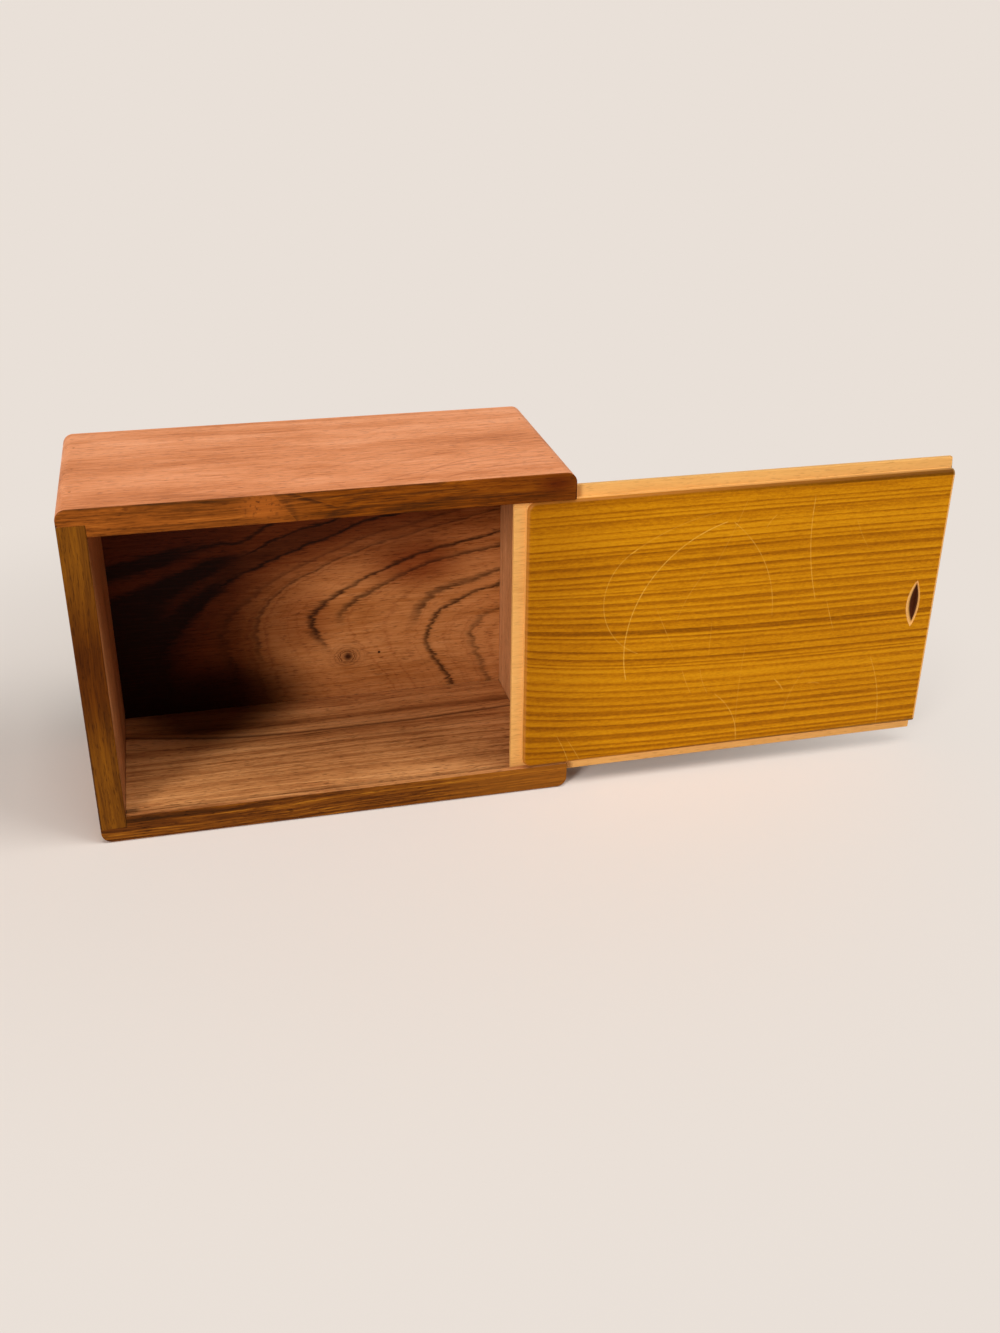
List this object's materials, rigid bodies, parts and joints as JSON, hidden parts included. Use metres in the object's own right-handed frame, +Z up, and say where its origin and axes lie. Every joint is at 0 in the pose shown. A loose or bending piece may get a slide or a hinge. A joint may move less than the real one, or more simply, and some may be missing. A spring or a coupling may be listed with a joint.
{
  "type": "sliding lid wooden box",
  "caption": "Wooden keepsake box standing on its side, with a raised-panel lid that slides in grooves and has a thumb notch.",
  "frame": {"origin": "on the face that the box stands on, under the middle of the box", "axes": "+X from the closed end to the open end, along which the lid is drawn; +Y from the opening to the bottom panel; +Z up"},
  "size_m": [0.4144, 0.104, 0.165],
  "materials": {
    "wall_wood": "aged satin varnish, golden brown",
    "bottom_wood": "aged varnish over strongly figured wood",
    "lid_wood": "worn amber varnish over straight striped grain",
    "brad_steel": "dulled steel"
  },
  "bodies": {
    "box": {"lower_side_wall": "wall_wood", "upper_side_wall": "wall_wood", "closed_end_wall": "wall_wood", "open_end_wall": "wall_wood", "bottom_panel": "bottom_wood", "closed_end_brads": "brad_steel", "open_end_brads": "brad_steel", "bottom_brads": "brad_steel"},
    "lid": {"sliding_lid": "lid_wood"}
  },
  "joints": [
    {"name": "lid_slide", "type": "slide", "parent": "box", "child": "lid", "axis": [1, 0, 0], "range_m": [-0.19, 0.03]}
  ]
}
